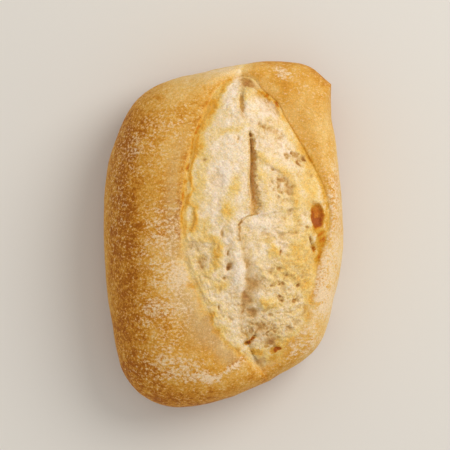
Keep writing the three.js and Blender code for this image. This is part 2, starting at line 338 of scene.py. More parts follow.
def loftRows():
    rows = [wallRow(1 - k / skin["wallRows"]) for k in range(skin["wallRows"])]
    rows += [crumbRow(1 - k / skin["crumbRows"]) for k in range(skin["crumbRows"])]
    rows += [lipRow(*section) for section in lipSection]
    rows += [flankRow(k / skin["flankRows"]) for k in range(1, skin["flankRows"] + 1)]
    rows += [curlRow(k / skin["curlRows"]) for k in range(1, skin["curlRows"] + 1)]
    rows += [baseRow(k / skin["baseRows"]) for k in range(1, skin["baseRows"] + 1)]
    return np.array(rows)


# Hollows of the crumb: middle, half sizes, turn in degrees, depth, how steep the side
# is, and how much brown and painted shade darken it inside. A negative depth is a lump.
hollows = [
    # left half
    (-2.75, 19, 2.9, 3.7, 0, 0.6, 6, 0.07),
    (-7.7, -9.9, 2, 3, -12, 0.5, 3, 0.22),
    (1.9, -10.6, 1, 1.7, -42, 1.2, 3, 0.5),
    (1.2, -11.6, 0.4, 0.6, -42, 0.6, 3, 0.9),
    (1.65, -6, 0.6, 1.3, -18, 0.8, 3, 0.5),
    (0.1, -15, 0.6, 0.6, 0, 0.6, 3, 0.5),
    (-0.4, 0.6, 0.7, 1.4, -8, 0.7, 3, 0.5),
    (-7.1, 25.9, 0.7, 1, 0, 0.5, 3, 0.55),
    (4.5, 33.3, 0.7, 0.8, 0, 0.5, 3, 0.5),
    (2.3, -28.9, 1, 0.8, 0, 0.5, 3, 0.45),
    (-1.8, -24.6, 0.5, 0.8, 20, 0.6, 3, 0.6),
    # right half
    (22.3, 17.8, 1.9, 3.6, 8, 0.8, 4, 0.2),
    (21.8, 14.6, 0.9, 1.1, 0, 0.6, 2, 0.5),
    (16.6, 18.2, 0.7, 1.1, 20, 0.5, 2, 0.35),
    (18.4, 16.8, 0.7, 1.2, 0, 0.5, 2, 0.4),
    (16.9, 15.2, 0.6, 0.7, 0, 0.5, 2, 0.45),
    (18.6, 19.4, 0.6, 0.8, 30, 0.4, 2, 0.3),
    (25.9, 24.6, 0.7, 1.3, 40, 0.9, 3, 0.9),
    (27.6, 25.8, 0.3, 1.2, 40, 0.6, 3, 0.6),
    (30, 20.5, 0.7, 0.7, 0, 0.5, 3, 0.4),
    (32, 6.6, 2, 4.4, 6, 2.4, 6, 0),
    (29.5, -1.7, 0.5, 1.3, 12, 1, 3, 0.8),
    (30.8, -4.6, 0.8, 1.9, 10, 1.5, 3, 1),
    (28.5, 2.3, 0.5, 0.6, 30, 0.6, 3, 0.6),
    (19, -6, 0.5, 0.9, 10, 0.8, 3, 0.8),
    (25.4, -17.1, 0.7, 0.8, 0, 0.7, 3, 0.7),
    (19, -17.6, 0.5, 0.5, 0, 0.6, 3, 0.7),
    (18.8, -20.7, 0.5, 0.5, 0, 0.6, 3, 0.7),
    (20.2, -18.5, 1.2, 1.2, 0, 0.4, 4, 0.25),
    (24.7, -22.3, 0.7, 0.7, 0, 0.7, 3, 0.85),
    (28.5, -25.1, 0.8, 1.2, 10, 0.7, 3, 0.7),
    (15.6, 44.4, 4, 3, -35, 0.7, 4, 0),
    # trough and near end
    (10.5, -16.7, 3.2, 2.6, 0, 0.7, 2, 0.24),
    (8.8, -22.4, 1.9, 2.8, 0, 0.6, 2, 0.25),
    (10, -26.4, 2.1, 1.7, 0, 0.8, 2, 0.34),
    (11.8, -31.6, 2.5, 2.2, 0, 0.6, 2, 0.22),
    (19, -26.4, 3.4, 3, 0, -0.5, 2, 0),
    (15.8, -37, 2.8, 1.5, 20, 0.6, 2, 0.3),
    (17.7, -39.4, 2.2, 1, 14, 0.8, 4, 0),
    (18.8, -36.9, 0.9, 1.6, 10, 0.5, 3, 0),
    (15.2, -33.7, 0.9, 0.4, 30, 0.4, 3, 0.6),
    (8.3, -37.2, 1.2, 0.8, 35, 0.7, 3, 0.3),
    (10.15, -35.3, 1.1, 0.65, 35, 0.6, 3, 0.3),
    (14.6, -38.7, 1, 0.45, 25, 0.4, 3, 0.7),
    (12.6, -44.1, 2.3, 1.9, -20, 0.6, 3, 0.25),
    (22.5, -38.3, 0.6, 0.6, 0, 0.7, 3, 0.9),
    # far end
    (8.8, 52.2, 3.8, 2.4, -22, 0.6, 3, 0.36),
    (12, 50, 1.8, 1.2, -45, 0.5, 2, 0.45),
    (8.1, 48.6, 2, 1.9, 0, -0.9, 3, 0),
    # lumps
    (25.7, -6.7, 5.2, 5.6, 15, -0.9, 3, 0),
    (16.9, -6.2, 2, 2.6, 0, -0.6, 3, 0),
    (19.5, 2.6, 3.4, 2, 0, -0.6, 3, 0),
    (12.5, 3.6, 3.2, 1.8, 0, -0.6, 3, 0),
    (14.6, -23.2, 2.6, 1.9, 0, -1.1, 3, 0),
    (4.6, -11.5, 2.6, 6.4, 6, -0.9, 3, 0),
    (3.8, 0.5, 2, 5, -10, -0.7, 3, 0),
    (-2.4, -5.4, 2, 3.4, 10, -0.5, 3, 0),
    (1.2, 8, 2.4, 4.2, -15, -0.4, 3, 0),
]

# Folds and creases: a line, its rise, and how wide it is on its left and right side
folds = [
    ([(11.8, 27.1), (16, 24.4), (19.9, 21.8), (23, 18.6), (24.2, 15.8), (23.9, 12.6)], 0.75, 2.4, 0.9),
    ([(9.1, 39.1), (14, 36.7), (19, 34)], -0.6, 1.2, 1.6),
    ([(-15, -1.2), (-11, -1.8), (-6.6, -2.4)], 0.6, 2, 0.4),
    ([(-8.6, 37), (-10.2, 28), (-11.6, 21), (-11.2, 15.6), (-12.7, 10), (-13.2, 4.6)], 0.45, 0.6, 0.5),
    ([(-12.6, 11.5), (-10, 9.4), (-9.4, 5.2), (-11, 1.4)], 0.5, 0.6, 0.5),
    ([(0.4, -45.3), (2.9, -44.1), (4.9, -44.4)], -0.8, 0.45, 0.5),
    ([(0.8, -46.8), (3, -46), (5.2, -45.2)], 0.6, 0.7, 0.5),
    ([(5.3, 2), (5.6, -2.4), (6.4, -4.4), (7.2, -8.8), (7.9, -12.2), (8, -14.4)], -0.35, 2.4, 1.2),
    ([(8, -14.4), (8.2, -18), (7.2, -20.6), (6.2, -26.8), (5.6, -28.6), (6.4, -32.6),
      (7.4, -36.6)], -0.45, 3.2, 1.2),
    ([(7.2, -38), (8.6, -36.8), (10.6, -34.8)], -0.8, 0.75, 0.75),
    ([(-12, -9), (-8.6, -17), (-4.6, -24.6), (-0.6, -31.4)], 0.3, 1.8, 1.2),
    ([(12.6, 48.7), (15.4, 47.3), (18.3, 45.2), (19.3, 42.2)], -0.9, 0.8, 1.8),
    ([(15.5, -2.6), (20, -8), (22.6, -13), (27, -17.6)], 0.5, 1.2, 0.9),
    ([(11, -9.6), (14.2, -14.2), (18.6, -17.2)], 0.5, 1.2, 0.9),
    ([(11.4, 22), (14.4, 17.6), (15.2, 12), (14, 6)], 0.4, 1.2, 1),
    ([(19.6, 12), (21.4, 6), (20.8, -0.6), (18.6, -4)], 0.4, 1.2, 1),
    ([(13.6, 43), (17.4, 38.8), (21.4, 34.6), (25, 29)], 0.35, 1.2, 0.9),
]


# Signed distance to a line; left of it is positive
def lineDistance(points, corners):
    corners = np.array(corners, float)
    best = np.full(len(points), 1e9)
    signed = np.zeros(len(points))
    for a, b in zip(corners, corners[1:]):
        step = b - a
        reach = np.clip(((points[:, :2] - a) @ step) / (step @ step), 0, 1)
        away = points[:, :2] - a - reach[:, None] * step
        length = np.linalg.norm(away, axis=1)
        side = np.sign(step[0] * away[:, 1] - step[1] * away[:, 0])
        closer = length < best
        best = np.where(closer, length, best)
        signed = np.where(closer, side * length, signed)
    return signed


def ovalDistance(points, x, y, rx, ry, turn):
    dx, dy = points[:, 0] - x, points[:, 1] - y
    c, s = math.cos(math.radians(turn)), math.sin(math.radians(turn))
    return np.hypot((dx * c + dy * s) / rx, (dy * c - dx * s) / ry)


# The places moved a little about, so that drawn shapes get uneven edges. Each step is
# the size of its waves and how far it moves them.
wanders = {
    "patch": [(3, 0.7), (1.1, 0.35)],
    "clot": [(3, 0.8), (1.2, 0.4)],
    "fold": [(2.2, 0.35)],
    "fibre": [(4, 1)],
}


def wander(points, name):
    for size, reach in wanders[name]:
        moved = points.copy()
        moved[:, 0] += reach * softNoise(points, size, 7.3)
        moved[:, 1] += reach * softNoise(points, size, 3.9)
        points = moved
    return points


# Sinking of each hollow, and the brown and painted shade inside it
def hollowField(points):
    fall, brownAndShade = np.zeros(len(points)), np.zeros(len(points))
    for x, y, rx, ry, turn, depth, steep, brownAndShadeInside in hollows:
        inside = np.exp(-ovalDistance(points, x, y, rx, ry, turn) ** steep)
        fall += depth * inside
        brownAndShade = np.maximum(brownAndShade, brownAndShadeInside * inside)
    return fall, brownAndShade


def foldField(points):
    rise = np.zeros(len(points))
    for corners, height, leftWidth, rightWidth in folds:
        away = lineDistance(points, corners)
        rise += height * np.exp(-(away / np.where(away > 0, leftWidth, rightWidth)) ** 2)
    return rise


# Soft ovals and lines with wandering edges, for the colours
def patches(points, ovals, streaks=(), steep=3):
    spot = wander(points, "patch")
    total = np.zeros(len(points))
    for x, y, rx, ry, turn, amount in ovals:
        total += amount * np.exp(-ovalDistance(spot, x, y, rx, ry, turn) ** steep)
    for corners, width, amount in streaks:
        total += amount * np.exp(-(lineDistance(spot, corners) / width) ** 2)
    return total


crumbLook = {
    # sizes of the torn forms, and their heights or depths
    "lumpSize": 7, "lump": 0.45,
    "clotSize": 3.4, "clot": 0.9, "clotMiddle": 0.45,
    "fibreSize": 1.3, "fibre": 0.16, "fibreRatio": 4.5,
    "bubbleSize": 2.6, "bubble": 0.55,
    "poreSize": 1.3, "pore": 0.3,
    # on even crumb and on coarse crumb: shares of the heights, the stain and painted shade
    # between clots, and how many cells stand open
    "lumpShare": (0.5, 1), "clotShare": (0.35, 1), "fibreShare": (0.35, 1.1), "clotShade": (0.15, 0.5),
    "openBubbles": (0.03, 0.5), "openPores": (0.1, 0.6),
    # fibres run down to the right, steeper in the lower left, where strings stand up
    "fibreTurn": (-0.62, -1.08), "steepPart": ((-6, 4), (-4, 8)),
    # painted shade between the strings, in open bubbles and in pores
    "stringyPart": ((-5, 4), (4, 12)), "stringyRise": 1.6, "stringyShade": 0.4,
    "bubbleShade": 0.3, "poreShade": 0.22,
    "sunkShade": 0.4, "sunkFrom": 0.1,       # crumb that lies deeper than this gets painted shade
    # toasting: everywhere, on folds, on coarse crumb, on bare crust, and along the lip
    "toast": 0.12, "ridgeToast": 0.4, "coarseToast": 0.2, "bareToast": -0.2,
    "toastMottle": [(2.2, 0.12, 8.1), (5, 0.08, 2.9)],
    "goldEdge": 0.4, "goldReach": 2.2, "goldMottle": [(4.5, 0.8, 6.6)], "goldLimit": 9,
    "farReach": 4.2, "farPart": 0.3,         # the gold reaches farther in at the far left
    # walls of the crack: their colour, and painted shade that deepens down them
    "wallDepth": 1.2,                        # a crack this deep has walls of full colour and painted shade
    "wallShade": 0.55, "wallShadePower": 0.4, "wallMottle": [(0.7, 0.3, 2.2)],
    "wallAmber": 0.4, "wallAmberPower": 0.3, "wallAmberMottle": [(1.2, 0.2, 5.7)],
    "glassySteep": 7, "glassyMottle": [(1.6, 0.6, 3.1)], "glassyOverStainAndShade": (0.3, 0.7),
    # ovals: x, y, half sizes, turn, amount; a negative amount takes away
    "leastCoarse": 0.12,                     # where the torn crumb is coarse and open
    "coarse": [
        (24, -12, 9, 20, 0, 0.65), (18, -30, 12, 10, 0, 0.35), (18, 17, 5, 7, 20, 0.5),
        (25, 27, 7, 9, 30, 0.45), (-4, -22, 7, 12, 25, 0.25), (12, 1, 8, 6, 0, 0.3),
        (9, 50, 5, 4, 0, 0.5), (-5, -8, 7, 9, 0, 0.3), (14, 38, 5, 5, 0, 0.3)],
    "toasted": [
        (-7.8, 18.6, 2.6, 12, -5, 0.27), (29.2, 0, 2, 3, 0, 0.35), (30.6, -10.5, 2, 3, 0, 0.25),
        (2.2, 53.6, 3.6, 2, 25, 0.5), (-0.6, 49.6, 1.2, 3, -30, 0.4), (-3.9, 44.2, 1.6, 3, -30, 0.4),
        (-6.2, 41, 2.4, 5.6, -22, 0.45), (-9, 32, 2.6, 6, -14, 0.5), (-2, 43, 4.5, 6, -25, 0.22),
        (-10.4, 14, 1.8, 5, 0, 0.12), (0.4, 35.6, 3.4, 1.4, 10, 0.4), (5.6, 36.8, 1.6, 1.2, 0, 0.25),
        (-3.4, 27, 3, 2.4, 0, 0.12), (3.6, 17, 2.2, 3.8, 0, 0.42), (1.1, 7.9, 2.4, 4.2, 0, 0.5),
        (1, 11.6, 2, 2.6, 0, 0.2), (-7.2, 2.7, 3.4, 3.4, 0, 0.3), (-5, -1, 5, 2, -12, 0.22),
        (-10.6, 5, 1.8, 5, 0, 0.2), (-2.3, -5.3, 1.9, 3.6, 10, 0.55), (-3, -10, 2, 3, 0, 0.35),
        (-5.4, -13, 1.6, 4, 20, 0.2), (-1.3, -17.4, 2.8, 2.2, 0, 0.4),
        (-4.3, -28.2, 1.6, 3.2, -28, 0.5), (-8.2, -7, 2.4, 2, 0, 0.3), (0.6, -33, 3, 3, 0, 0.15),
        (25.7, -6.7, 4.9, 5.4, 0, 0.4), (16.9, -6, 1.7, 2.4, 0, 0.45), (20, -13, 5, 2.4, -35, 0.25),
        (27, -15, 3.4, 4, 0, 0.2), (14.4, -23, 2.6, 1.5, 0, 0.55), (15.4, -25, 2.2, 1.2, 20, 0.3),
        (29.6, 14, 2.4, 9, 6, 0.4), (25, 6, 1.8, 6, 0, 0.35), (24, 14, 1.6, 4, 0, 0.15),
        (17, -1.5, 3.5, 1, 0, 0.25), (28, 25, 2.4, 7, 25, 0.15), (17, 34, 8, 11, 20, -0.06),
        (13, 26, 3, 2, 0, 0.15), (14.3, 36.3, 3, 2.4, 0, 0.12), (12.4, 20, 1.6, 5, 0, 0.2),
        (11.2, -40.6, 2.4, 1, 0, 0.7), (17, -42.4, 2.6, 1.2, 20, 0.5), (9.6, -39.3, 1.1, 0.9, 0, 0.6),
        (22, -38.6, 4, 3.6, 20, 0.5), (13, -41, 5, 2, 10, 0.3), (8.2, 48.8, 2.2, 2, 0, 0.2),
        (19.5, -21.5, 4, 2, 0, 0.1), (29, -19, 2.4, 5, 0, 0.25), (15.4, 44.2, 4.2, 3.2, -35, -0.4),
        (0.2, 25, 4.5, 12, 0, -0.17), (21.3, 29.4, 3, 4, 0, -0.2), (19.5, -1.8, 3.4, 3, 0, -0.15),
        (3.4, 51, 2.2, 6, -22, -0.3), (1, 44, 3, 6, -20, -0.15), (13.5, 4.4, 4.5, 3.6, 0, -0.2),
        (19.6, -2.8, 1.8, 2.2, 0, -0.3), (5, -12, 2.2, 6, 6, -0.15)],
    # lines: corners, width, amount
    "toastLines": [
        ([(12.6, 49.2), (18.4, 46.1), (19.9, 44), (20.1, 40.9), (24, 37.5)], 0.7, 0.5),
        ([(24, 37.5), (27, 30.1), (30.5, 24.9), (33.4, 20.1), (35.4, 14)], 1.1, 0.45),
        ([(-8.6, 36.8), (-10.2, 28.4), (-11.7, 21.5), (-11.2, 16), (-12.7, 12)], 0.7, 0.6),
        ([(-12.6, 11), (-9.8, 9.6), (-9.4, 5.2), (-11.6, 1.8)], 1.2, 0.35),
        ([(-13.9, 12), (-13.9, 6), (-13.6, 0.6)], 1.1, 0.6),
        ([(31.6, 2), (33.6, 0.4), (33, -2), (33.6, -5.4), (32.6, -8.6)], 1.1, 0.75),
        ([(-8.6, -23.4), (-6, -28.4), (-3.4, -32.6), (1.2, -37.4), (5, -40.6)], 1.3, 0.4),
        ([(-12, -15), (-10, -19.5), (-8.6, -23.4)], 0.8, 0.35)],
    # thin baked skin that light shines through
    "glassy": [
        (32, 6.6, 2.4, 4.7, 6, 1.05), (32.2, 4.2, 1.4, 1.9, 0, 0.3), (30.4, 6.8, 0.7, 3.6, 6, 0.25),
        (17.7, -39.7, 2.5, 1.1, 14, 0.85), (18.8, -39.5, 1.5, 1.2, 14, 0.45),
        (18.7, -37.4, 1.1, 1.8, 10, 0.5), (8.3, -37.2, 1.25, 0.85, 35, 0.95),
        (10.15, -35.3, 1.2, 0.7, 35, 0.95), (30.8, -4.6, 0.8, 1.9, 10, 1),
        (28.5, -25.1, 0.8, 1.2, 10, 0.4), (24.7, -22.3, 0.8, 0.8, 0, 0.3),
        (11, -40.4, 2.6, 1.1, 10, 0.6), (9.2, -39.4, 1.1, 0.9, 0, 0.4),
        (17.2, -42.3, 1.7, 1.1, 30, 0.6), (3.2, 54, 2.2, 1, 18, 0.25), (1.5, 52.4, 1.5, 1.9, -20, 0.45),
        (-3, 48.2, 2.2, 1.3, 35, 0.25), (-6.2, 41.9, 1.3, 3, -20, 0.45), (-8.6, 36, 1, 1.6, 0, 0.5)],
    "glassyAndShadowLines": [
        # the first two: a painted shadow under the overhanging upper right lip
        ([(12, 49), (14.6, 48), (16.9, 46.7), (18.6, 45)], 0.8, 0.75),
        ([(12.2, 49.2), (15, 47.8), (18.2, 45.6), (19.6, 42.2)], 1.2, 0.3),
        ([(31.2, 2.6), (32.9, 0.4), (32.8, -2), (33.2, -5.4), (32.3, -8.8)], 1.6, 0.8),
        ([(27, 30), (30.8, 24.4), (33.6, 18), (35.2, 11), (35.6, 4), (34.4, -2)], 1.3, 0.66),
        ([(-8.9, 37.5), (-11.4, 28.4), (-12.9, 21.5), (-13.6, 16), (-14.2, 10), (-14.4, 4),
          (-14, 0)], 0.85, 0.72),
        ([(-9.9, 10.4), (-9.6, 5.6), (-10.8, 2)], 0.6, 0.3),
        ([(7.2, -38), (8.6, -36.8), (10.6, -34.8)], 0.8, 0.2),
        ([(13.4, -39), (15.2, -38.1)], 0.45, 0.4),
        ([(19.6, -38.5), (21, -41), (18, -43)], 1.6, 0.2)],
    # brown stains, and painted shade beside folds, in creases, under the upper right lip and over the right
    # half
    "stainedAndShaded": [
        (5.6, 39.8, 2, 3, 0, 0.15), (28.2, 12, 2, 4, 0, 0.12), (23, 15.5, 2, 3, 0, 0.15),
        (5, -22.6, 2, 5, 0, 0.22), (20, 4, 12, 38, 0, 0.1), (15.4, 44, 3.6, 4, -35, 0.06),
        (15, 35, 5, 7, 0, 0.2), (6.6, 52.4, 3.2, 2.4, -18, 0.26), (26.4, 20.7, 3, 4, 0, 0.1),
        (21, -22.6, 3, 3, 0, 0.12), (10.8, -16.4, 3, 3.4, 0, 0.1), (9, -24, 3, 6, 0, 0.12),
        (15.5, -33, 5, 3.4, 0, 0.2), (13.5, -33.5, 6, 5, 0, 0.2), (12.5, -44, 2.5, 2, 0, 0.12),
        (7.4, -3, 2.2, 6, 0, 0.2), (9, -9, 2.4, 4, 10, 0.2), (12, 37.6, 4.5, 0.9, -27, 0.15),
        (-9.6, -3.4, 4.6, 1.6, -8, 0.4), (-7.7, -9.9, 2, 3.4, -12, 0.2), (17.6, 17.2, 2.6, 3.4, 0, 0.1),
        (9, 52.4, 3.2, 2.2, -18, 0.15), (16.6, -36.8, 1.7, 1.6, 0, 0.35), (18.5, 22, 3, 1, -36, 0.2),
        (-12.5, -6.5, 2.6, 3, 0, 0.25), (24.4, -15, 3, 1, -40, 0.25), (16.6, -9.6, 3, 1, -40, 0.2),
        (25, 1, 1, 3.4, -10, 0.25)],
    "stainAndShadeLines": [
        # the first two: painted shade along the trough
        ([(5.3, 2), (5.6, -2.4), (6.4, -4.4), (7.2, -8.8), (7.9, -12.2), (8, -18),
          (7.2, -20.6)], 0.9, 0.22),
        ([(7.2, -20.6), (6.2, -26.8), (5.6, -28.6), (6.4, -32.6), (7.4, -36.6)], 1, 0.25),
        ([(5.9, 4.2), (5.2, 1.6), (5.4, -2)], 0.4, 0.45),
        ([(9.4, 6.4), (6.8, 5.6), (5.6, 3.6)], 0.35, 0.5),
        ([(6.4, 48.8), (6.2, 44.6), (6.8, 41)], 0.9, 0.45)],
}


# 1 in the lower left of the roll, coming on over these stretches left and down
def lowerLeft(points, leftwards, downwards):
    return smoothStep(-points[:, 0], *leftwards) * smoothStep(-points[:, 1], *downwards)


# Clots of torn crumb, 0 in the creases between them
def clotField(points):
    torn = wander(points, "clot")
    size = crumbLook["clotSize"]
    return np.abs(softNoise(torn, size, 2.5)) + 0.5 * np.abs(softNoise(torn, size / 2, 6.5))


# Strings of torn crumb, 1 on their crests and below 0 between them
def stringField(points):
    turn = blend(*crumbLook["fibreTurn"], lowerLeft(points, *crumbLook["steepPart"]))
    fibres = alongFibres(wander(points, "fibre"), turn, crumbLook["fibreRatio"])
    return 1 - 2 * np.abs(softNoise(fibres, crumbLook["fibreSize"], 5.1))


# Rise of the crumb, the brown and painted shade of its hollows and creases, and how far its folds stand up
def crumbRelief(points, coarse):
    look = crumbLook
    fall, brownAndShade = hollowField(wander(points, "patch"))
    folded = foldField(wander(points, "fold"))
    clots = clotField(points)
    strings = stringField(points)
    stringyPart = lowerLeft(points, *look["stringyPart"])
    bubbles = openBubbles(points, look["bubbleSize"], blend(*look["openBubbles"], coarse), 3)
    pores = openBubbles(points, look["poreSize"], blend(*look["openPores"], coarse), 9)

    rise = look["lump"] * softNoise(points, look["lumpSize"], 0.5) * blend(*look["lumpShare"], coarse)
    rise += look["clot"] * (clots - look["clotMiddle"]) * blend(*look["clotShare"], coarse)
    rise += look["fibre"] * strings * (blend(*look["fibreShare"], coarse) + look["stringyRise"] * stringyPart)
    rise += folded - fall - look["bubble"] * bubbles - look["pore"] * pores

    # Painted shade between strings, in the creases between clots and in open cells
    betweenStrings = look["stringyShade"] * stringyPart * smoothStep(-strings, -0.3, 0.3)
    betweenClots = blend(*look["clotShade"], coarse) * (1 - smoothStep(clots, 0.05, 0.3))
    openCells = look["bubbleShade"] * bubbles + look["poreShade"] * pores
    brownAndShade = np.max([brownAndShade, betweenStrings, betweenClots, openCells], axis=0)
    return rise, brownAndShade, np.clip(folded, 0, 1)


crustLook = {
    # the light swell, dents and wrinkles
    "relief": [(21, 0.5, 0), (8, 0.2, 4.2), (3.2, 0.07, 1.9)],
    # how dark the crust is baked: "baked" everywhere, and more or less in the ovals
    "baked": 0.48, "bakeMottle": [(7, 0.11, 2.2), (2.6, 0.09, 6.2)],
    "sideBaked": 0.12,                       # added low on the sides, where the patches fade out
    "upper": (5, 17), "upperMottle": [(7, 4, 3.3)],        # heights over which the patches come on
    "lowBaked": 0.3, "lowBakedTo": 16,       # added towards the base
    "browned": [
        (38.6, 12, 3, 12, 0, 0.24), (35.1, 32.9, 3, 4, 0, -0.06), (-20.4, 5, 3.6, 6, 0, 0.16),
        (-22, -29.6, 4.5, 5, 0, 0.14), (2.2, 56.4, 3.5, 2, 0, -0.15), (16, -48.4, 4, 2, 30, 0.16),
        (-19.5, 28.5, 2.4, 5, 0, -0.1), (22, 40, 3, 3, 0, -0.06), (-17, 29.4, 3, 5, 0, -0.08),
        (26.5, 48.5, 4, 3, 0, -0.08), (-22, 49, 4.5, 3.5, 30, 0.16), (-28, 41, 4, 6, -30, 0.02),
        (-34, 2, 6.5, 44, 0, 0.36), (-31, -40, 9, 16, 14, 0.14), (-27, -52, 12, 7, -30, 0.22),
        (-12, -58, 16, 5, 4, 0.3), (10, -53, 12, 4, 28, 0.12), (-32, 38, 6, 10, -35, 0.1),
        (-25, 36, 4, 8, -10, 0.06), (-20, 10, 8, 34, 0, -0.06), (-20, 18, 3, 12, 0, 0.1),
        (-12, 52, 11, 5, 15, -0.26), (2, 57, 10, 4, 8, -0.3), (19, 57, 9, 4, -5, -0.02),
        (27, 46, 8, 8, 0, -0.04), (33, 38, 6, 12, 10, -0.1), (39, 0, 5, 34, 0, -0.34),
        (22, 50.5, 6, 2.8, -30, 0.14), (27.5, 36, 3.2, 14, 36, -0.1), (15, 51, 5, 2.4, -20, -0.14),
        (36.6, 52, 2.2, 6, 0, 0.08), (33, -32, 8, 10, 20, -0.24), (20, -43, 8, 4, 32, -0.06),
        (-6, -34, 7, 6, 30, 0.06), (-13, -22, 5, 9, 20, -0.1), (-9.4, -22, 3, 6, 28, -0.3),
        (-12.6, -12, 2.6, 5, 0, -0.2), (-25, -24, 4, 6, 0, 0.1), (-17, -12, 5, 8, 0, -0.14)],
    "brownLines": [
        ([(-8.2, 40.8), (-11.2, 30.4), (-13.2, 23.4), (-13.7, 19), (-15.2, 12), (-15.6, 4),
          (-15.4, -0.6)], 1, 0.3),
        ([(35.8, -2), (36.6, 4), (36, 12), (33.6, 20)], 0.8, 0.15),
        ([(0.4, -45.3), (2.9, -44.1), (4.9, -44.4)], 0.45, 0.5),
        ([(36.4, 56), (37.6, 53.4), (37, 46)], 0.5, 0.22),
        ([(10, 60), (20, 61), (30, 59), (36, 54)], 1.8, 0.2)],
    "dull": [
        (-6.4, -32.5, 5.5, 6, 30, 0.85), (-13, -23, 3.4, 8, 22, 0.7), (-17.6, 10, 2.6, 16, 0, 0.5),
        (-17.2, -5.4, 2.8, 5, 0, 0.5), (-15, 30, 2.4, 8, -14, 0.3), (0.2, -40.2, 5.5, 3, -38, 0.9),
        (-4, 56, 12, 3, 12, 0.2)],
    "even": [
        (22, 54, 22, 7, -4, 0.75), (28, 42, 8, 14, 20, 0.7), (36, 20, 5, 20, 8, 0.3),
        (-5, -35, 9, 9, 30, 0.6)],
    "flour": -0.06,
    "floury": [
        (-21.4, 4.4, 4, 4.4, 0, 0.25), (-15.8, -15.4, 3.4, 5, 20, 0.5), (-24, -26, 3, 2, 0, 0.6),
        (-20, 5, 7, 9, 0, 0.5), (-22, -8, 9, 8, 0, 0.45), (-17, -20, 8, 8, 0, 0.45),
        (-13, -12, 2.6, 5, 0, 0.8), (34, -23, 4, 5, 0, 1.7), (-20, -28, 10, 10, 0, 0.35),
        (-28, 30, 9, 10, 0, 0.27), (-18, 38, 8, 6, 0, 0.3), (-16, -46, 10, 4, -20, 0.5),
        (-4.4, -49, 3.2, 1.8, 10, 0.9), (6.1, -42.8, 1.6, 1.1, 0, 0.8), (38, 8, 4.5, 18, 0, 0.85),
        (20.4, 56, 3.6, 2, -20, 1), (27, -36, 7, 5, 35, 1), (34.4, -13, 5, 11.5, 0, 1.3),
        (-15.6, -12, 3, 5, 0, 0.6), (30, 52, 8, 5, -20, 0.15), (-2, 58, 9, 2.4, 10, 0.5),
        (-20, -45, 12, 7, 0, 0.3), (26, -39.3, 3.4, 1, 30, 0.7), (-36, 10, 4, 20, 0, 0.2)],
    "flourLines": [
        ([(0.8, -46.7), (3, -45.7), (5.4, -45)], 0.7, 2.5),
        ([(-9, -48), (-5, -49.4), (-2, -49)], 1, 1.2)],
    # crumb shows through along these lines, from these heights up
    "bareLines": [([(3.4, 51), (5, 54), (7.2, 60)], 1.5, 1.1)],
    "bareFrom": (10, 18),
    # crust and crumb mix within this of the lip, and wider on the near half
    "fringe": 0.5, "fray": [(2.4, 1, 1.7), (0.9, 0.5, 8.8)],
    "leftFringe": 2, "leftFringeAlong": (0.5, 1.05, 0.12),
    "rightFringe": 1.8, "rightFringeAlong": (0.7, 1.05, 0.1),
}

# Where the relief changes from crust to crumb, and where it is kept weak
relief = {
    "toCrumb": (-0.3, 0.6),                  # distances inside the lip line
    "weakAtLip": 0.85, "beforeLip": 8, "behindLip": 4, "lipRamp": 4,       # the last three are rows
    "sidewaysAfter": 16,                     # by this many rows from the crack it acts sideways too
    "shutDepth": 0.6,                        # a crack shallower than this takes relief to its bottom
    "wallFade": 3,                           # rows of crumb that still count as wall
}


# Which way is outward at each point of the rows
def outwardOf(rows):
    around = np.roll(rows, -1, axis=1) - np.roll(rows, 1, axis=1)
    across = np.gradient(rows, axis=0)
    normal = np.cross(across, around)
    return normal / (np.linalg.norm(normal, axis=2)[:, :, None] + 1e-9)


# How far each point lies inside the lip, in millimetres; the crust is negative
def insetOf(rows):
    away = np.linalg.norm(rows[:, :, :2] - rows[lipNose][:, :2], axis=2)
    rowNumber = np.arange(len(rows))[:, None]
    return np.where(rowNumber < lipNose, away, -away)


# What the grid says of each point: its column's values, its row, how far inside the lip
# it lies, and how far down the wall of the crack
def gridTable(rows):
    at = {name: np.tile(column[name], len(rows)) for name in ("left", "v", "depth")}
    at["row"] = np.repeat(np.arange(len(rows)), skin["around"])
    at["inset"] = insetOf(rows).ravel()
    at["down"] = np.clip(1 - at["row"] / (skin["wallRows"] + relief["wallFade"]), 0, 1)
    at["wall"] = at["down"] * np.clip(at["depth"] / crumbLook["wallDepth"], 0, 1)
    return at


# The points moved out along the skin by its relief
def raisePoints(rows, at, crumbRise, crustRise):
    points = rows.reshape(-1, 3)
    inCrumb = smoothStep(at["inset"], *relief["toCrumb"])
    shut = 1 - np.clip(at["depth"] / relief["shutDepth"], 0, 1)
    inCrack = np.maximum(smoothStep(at["row"], 0, skin["wallRows"]), shut)
    overBase = smoothStep(points[:, 2], 0, form["girthHeight"])
    lipRows = (lipFoot - relief["beforeLip"], lipCrest + relief["behindLip"])
    nearLip = stretch(at["row"], *lipRows, relief["lipRamp"])
    rise = blend(crustRise * overBase, crumbRise * inCrack, inCrumb) * (1 - relief["weakAtLip"] * nearLip)

    sideways = smoothStep(at["row"], skin["wallRows"], skin["wallRows"] + relief["sidewaysAfter"])
    lift = outwardOf(rows).reshape(-1, 3) * sideways[:, None] + np.outer(inCrumb, [0, 0, 1])
    lift /= np.linalg.norm(lift, axis=1)[:, None] + 1e-9
    return points + lift * rise[:, None]


# The walls of the crack are torn, most of all half way down on the right
def roughenWalls(points, at):
    rough = crack["rough"] * np.where(at["left"], crack["leftShare"], 1)
    rough *= np.sin(np.pi * at["down"]) * np.clip(at["depth"] / crack["roughDepth"], 0, 1)
    points[:, 2] += rough * softNoise(points, crack["roughSize"], 4.4)
    points[:, 0] += rough * softNoise(points, crack["roughSize"], 9.4)


